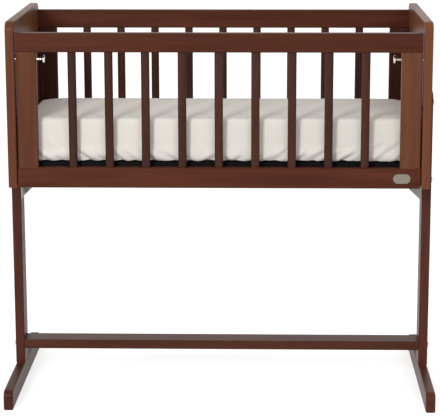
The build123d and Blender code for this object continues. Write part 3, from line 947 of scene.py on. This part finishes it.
# %% [markdown]
# The mattress is soft foam. Its top rises a little to the front edge and falls to the back and to both
# ends, and its sides belly out between a drawn-in foot and a round shoulder. The form is a stack of
# rounded loops, and one formula for the fall is used for the mattress and the sheet.

# %% Bed form
sheet_low, sheet_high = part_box("fitted_sheet")
mattress_low, mattress_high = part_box("mattress")
front_fall = -0.005
back_fall = 0.012
end_fall = 0.013
fall_reach = 0.14
end_reach = 0.45
loop_steps = 12
smallest_corner = 0.006
foot_levels, side_levels, shoulder_levels = 5, 6, 7
top_reaches = (0.012, 0.028, 0.050, 0.078, 0.110, 0.145)


def rounded_loop(half_x, half_y, corner):
    """Points round a rectangle with round corners, the same number for any size."""
    points = []
    for quarter in range(4):
        centre_x = (half_x - corner) * (1, -1, -1, 1)[quarter]
        centre_y = (half_y - corner) * (1, 1, -1, -1)[quarter]
        for step in range(loop_steps):
            angle = math.pi / 2 * (quarter + step / (loop_steps - 1))
            points.append((centre_x + corner * math.cos(angle), centre_y + corner * math.sin(angle)))
    return points


def fall_at(x, y, half_x, half_y):
    """How much lower the soft top lies at a place than along its middle."""
    side_share = max(0.0, 1.0 - (half_y - abs(y)) / fall_reach)
    end_share = max(0.0, 1.0 - (half_x - abs(x)) / end_reach)
    return (back_fall if y > 0 else front_fall) * side_share ** 2 + end_fall * end_share ** 2


def bed_shape(low, high, corner, shoulder, under_edge, bulge, draw_in=0.0):
    """A pad as a stack of rounded loops: drawn in below, bellied at half height, domed on top."""
    centre = (low + high) / 2
    half_x = (high.x - low.x) / 2 - draw_in
    half_y = (high.y - low.y) / 2 - draw_in
    bottom, top = low.z + draw_in / 4, high.z - draw_in
    tall = top - bottom
    side_height = tall - under_edge - shoulder
    levels = []
    for step in range(foot_levels):
        angle = math.pi / 2 * step / (foot_levels - 1)
        levels.append((under_edge * (1 - math.sin(angle)) + bulge, under_edge * (1 - math.cos(angle))))
    for step in range(1, side_levels):
        share = step / side_levels
        levels.append((bulge * (1 - math.sin(math.pi * share)), under_edge + share * side_height))
    for step in range(shoulder_levels):
        angle = math.pi / 2 * step / (shoulder_levels - 1)
        levels.append((shoulder * (1 - math.cos(angle)) + bulge, tall - shoulder * (1 - math.sin(angle))))
    levels += [(shoulder + bulge + reach, tall) for reach in top_reaches]
    shape = bmesh.new()
    loops = []
    for inset, height in levels:
        loop = []
        for x, y in rounded_loop(half_x - inset, half_y - inset, max(smallest_corner, corner - inset)):
            fallen = height * (1.0 - fall_at(x, y, half_x, half_y) / tall)
            loop.append(shape.verts.new((centre.x + x, centre.y + y, bottom + fallen)))
        loops.append(loop)
    skin_over(shape, loops)
    return shape


print("sheet box", [round(side, 3) for side in sheet_high - sheet_low])

# %% [markdown]
# The mattress itself is hidden by the sheet, but it is there: a plain ticking over foam. It is padded
# through and through, so its fill is high, and it is drawn in a little to leave room for the sheet.

# %% Mattress
mattress_ticking = fitting_finish("mattress_ticking", (0.72, 0.71, 0.68), 0.8, 0.95, 700.0, 0.4)
mattress_form = bed_shape(mattress_low, mattress_high, corner=0.045, shoulder=0.022, under_edge=0.012,
                          bulge=0.002, draw_in=0.006)
mattress_pad = finish_piece("mattress_pad", mattress_form, mattress_ticking, "stand", "mattress_cover",
                            "mattress")
print("mattress faces", len(mattress_pad.data.polygons))

# %% [markdown]
# Cotton is woven: threads over and under each other every half millimetre or so. Two waves at right
# angles make that relief, and slow noise keeps the white from being even. Washed cotton is matt with a
# faint sheen along its silhouette.

# %% Sheet cotton
cotton_low = (0.685, 0.645, 0.605, 1.0)
cotton_high = (0.735, 0.700, 0.660, 1.0)

sheet_cotton, cotton_tree, cotton_shader = new_finish("sheet_cotton", Roughness=0.88)
cotton_place = add_node(cotton_tree, "ShaderNodeTexCoord").outputs["Object"]
threads = [add_node(cotton_tree, "ShaderNodeTexWave", {
    "Vector": cotton_place, "Scale": 520.0, "Distortion": 0.6, "Detail": 1.0,
}, bands_direction=direction).outputs["Fac"] for direction in ("X", "DIAGONAL")]
weave = arithmetic(cotton_tree, "MULTIPLY", *threads)
washed = add_node(cotton_tree, "ShaderNodeTexNoise", {
    "Vector": cotton_place, "Scale": 14.0, "Detail": 3.0,
}).outputs["Fac"]
cotton_tone = mixed_colour(cotton_tree, washed, cotton_low, cotton_high)
cotton_relief = add_node(cotton_tree, "ShaderNodeBump", {
    "Height": weave, "Strength": 0.12, "Distance": 0.0002,
})
cotton_tree.links.new(cotton_tone, cotton_shader.inputs["Base Color"])
cotton_tree.links.new(cotton_relief.outputs["Normal"], cotton_shader.inputs["Normal"])
cotton_shader.inputs["Specular IOR Level"].default_value = 0.2
cotton_shader.inputs["Sheen Weight"].default_value = 0.08
print("cotton:", len(cotton_tree.nodes), "nodes")

# %% [markdown]
# A fitted sheet is tight on top and gathered below, where elastic draws the spare cloth under the
# mattress. The sheet starts as the bed form, a little small. Cloth simulation with some air pressure
# fills it, and the lower band, whose cloth is cut with spare length, buckles. How far each point may
# move is capped, so that the sheet stays clear of the slats.

# %% Sheet by cloth simulation
voxel = 0.006
fill_pressure = 3.0
last_frame = 20
largest_move = 0.0022
sheet_draw_in = 0.0018
loose_band = 0.04
spare_cloth = -0.10


def quads_of(shape, name):
    """An object whose skin is remeshed into even small quads."""
    mesh = bpy.data.meshes.new(name)
    shape.to_mesh(mesh)
    shape.free()
    piece = bpy.data.objects.new(name, mesh)
    bpy.context.scene.collection.objects.link(piece)
    remesh = piece.modifiers.new("even_quads", "REMESH")
    remesh.mode = "VOXEL"
    remesh.voxel_size = voxel
    return piece


def applied(piece):
    """Works a piece's modifiers into its mesh."""
    worked = piece.evaluated_get(bpy.context.evaluated_depsgraph_get())
    mesh = bpy.data.meshes.new_from_object(worked)
    piece.modifiers.clear()
    piece.data = mesh


def filled_sheet(piece):
    """Runs the cloth simulation on the sheet and applies a capped result."""
    bottom = min(point.co.z for point in piece.data.vertices)
    held = piece.vertex_groups.new(name="held_under")
    loose = piece.vertex_groups.new(name="spare")
    for point in piece.data.vertices:
        height = point.co.z - bottom
        held.add([point.index], 1.0 if height < voxel else 0.0, "REPLACE")
        loose.add([point.index], max(0.0, 1.0 - height / loose_band), "REPLACE")
    before = [point.co.copy() for point in piece.data.vertices]
    cloth = piece.modifiers.new("sheet_cloth", "CLOTH")
    cloth.settings.quality = 6
    cloth.settings.mass = 0.15
    cloth.settings.tension_stiffness = 20.0
    cloth.settings.compression_stiffness = 20.0
    cloth.settings.bending_stiffness = 0.05
    cloth.settings.vertex_group_mass = "held_under"
    cloth.settings.vertex_group_shrink = "spare"
    cloth.settings.shrink_max = spare_cloth
    cloth.settings.use_pressure = True
    cloth.settings.uniform_pressure_force = fill_pressure
    cloth.settings.effector_weights.gravity = 0.0
    cloth.point_cache.frame_start = 1
    cloth.point_cache.frame_end = last_frame
    for step in range(1, last_frame + 1):
        bpy.context.scene.frame_set(step)
    applied(piece)
    bpy.context.scene.frame_set(1)
    farthest = 0.0
    for point, old in zip(piece.data.vertices, before):
        move = point.co - old
        farthest = max(farthest, move.length)
        if move.length > largest_move:
            point.co = old + move * (largest_move / move.length)
    return farthest


sheet_form = bed_shape(sheet_low, sheet_high, corner=0.043, shoulder=0.010, under_edge=0.009,
                       bulge=0.001, draw_in=sheet_draw_in)
sheet_skin = quads_of(sheet_form, "sheet_skin")
applied(sheet_skin)
farthest = filled_sheet(sheet_skin)
print("cloth points", len(sheet_skin.data.vertices), "moved up to", round(farthest, 4), "m")

# %% [markdown]
# The folds are short and sharp: they start under the mattress, lean outwards to the nearer end and fade
# within a hand's breadth. Each is a line with a start, a lean, a length and a depth, chosen with a
# seeded random generator, and the cloth sinks along it and rises beside it. After that the middle of
# the underside is opened, which leaves the hem.

# %% Gathers and hem
hem_reach = 0.055
gathered_height = 0.075
long_side_folds = 30
long_side_half = 0.43
end_folds = 10
end_half = 0.17
middle_share = 0.06
fold_half_width = 0.0058
fold_lead = 0.012
welt_share = 0.55
welt_aside = 1.7
deepest_fold = 0.0058
highest_welt = 0.0024
cloth_thickness = 0.0008

gathers = random.Random(11)
folds = []


def fold_place(number, count, half):
    """Where a fold starts along its side: one in each equal stretch, at a random place in it."""
    return -half + 2 * half * (number + gathers.uniform(0.1, 0.9)) / count


for face_y in (-1.0, 1.0):
    for number in range(long_side_folds):
        along = fold_place(number, long_side_folds, long_side_half)
        lean = math.radians(gathers.uniform(24.0, 42.0))
        outward = 1.0 if along > 0 else -1.0
        if abs(along) < middle_share:
            outward = gathers.choice((-1.0, 1.0))
        reach = gathers.uniform(0.030, 0.070) * (0.6 + 0.7 * abs(along) / long_side_half)
        depth = gathers.uniform(0.0015, 0.0046)
        folds.append(("y", face_y, along, outward * math.cos(lean), math.sin(lean), reach, depth))
for face_x in (-1.0, 1.0):
    for number in range(end_folds):
        along = fold_place(number, end_folds, end_half)
        lean = math.radians(gathers.uniform(30.0, 60.0))
        outward = 1.0 if along > 0 else -1.0
        reach = gathers.uniform(0.03, 0.06)
        depth = gathers.uniform(0.0015, 0.004)
        folds.append(("x", face_x, along, outward * math.cos(lean), math.sin(lean), reach, depth))


def fold_depth(along, height, fold):
    """How far a fold draws the cloth in at a place on its face, with a small welt on its upper side."""
    start, run, rise, reach, depth = fold[2:]
    forward = (along - start) * run + height * rise
    aside = -(along - start) * rise + height * run
    aside *= 1.0 if run > 0 else -1.0
    if not -fold_lead < forward < reach:
        return 0.0
    fading = math.sin(math.pi * min(1.0, (forward + fold_lead) / (reach + fold_lead))) ** 0.7
    across = aside / fold_half_width
    furrow = math.exp(-across * across)
    welt = welt_share * math.exp(-(across - welt_aside) ** 2)
    return depth * fading * (furrow - welt)


sheet_middle = (sheet_low + sheet_high) / 2
half_x, half_y = (sheet_high.x - sheet_low.x) / 2, (sheet_high.y - sheet_low.y) / 2
cloth_shape = bmesh.new()
cloth_shape.from_mesh(sheet_skin.data)
bmesh.ops.subdivide_edges(cloth_shape, edges=cloth_shape.edges[:], cuts=1, use_grid_fill=True, smooth=0.0)
cloth_shape.normal_update()
moves = []
for point in cloth_shape.verts:
    x, y = point.co.x - sheet_middle.x, point.co.y - sheet_middle.y
    height = point.co.z - sheet_low.z
    drawn = 0.0
    if height < gathered_height:
        for fold in folds:
            on_face = fold[1] * (y / half_y if fold[0] == "y" else x / half_x) > 0.9
            if on_face:
                drawn += fold_depth(x if fold[0] == "y" else y, height, fold)
    if drawn:
        moves.append((point, point.normal * -max(-highest_welt, min(deepest_fold, drawn))))
for point, move in moves:
    point.co += move
open_under = []
for face in cloth_shape.faces:
    place = face.calc_center_median() - sheet_middle
    if face.normal.z < -0.9 and abs(place.x) < half_x - hem_reach and abs(place.y) < half_y - hem_reach:
        open_under.append(face)
bmesh.ops.delete(cloth_shape, geom=open_under, context="FACES")
cloth_area = sum(face.calc_area() for face in cloth_shape.faces)
bpy.data.objects.remove(sheet_skin)
sheet_skin = finish_piece("sheet_skin", cloth_shape, sheet_cotton, "stand", "sheet_cotton", "fitted_sheet")
sheet_skin.data.set_sharp_from_angle(angle=math.pi)
sheet_skin.modifiers.clear()
thickened = sheet_skin.modifiers.new("cloth_thickness", "SOLIDIFY")
thickened.thickness = cloth_thickness
print("sheet folds", len(folds), "cloth", round(cloth_area, 3), "m2")
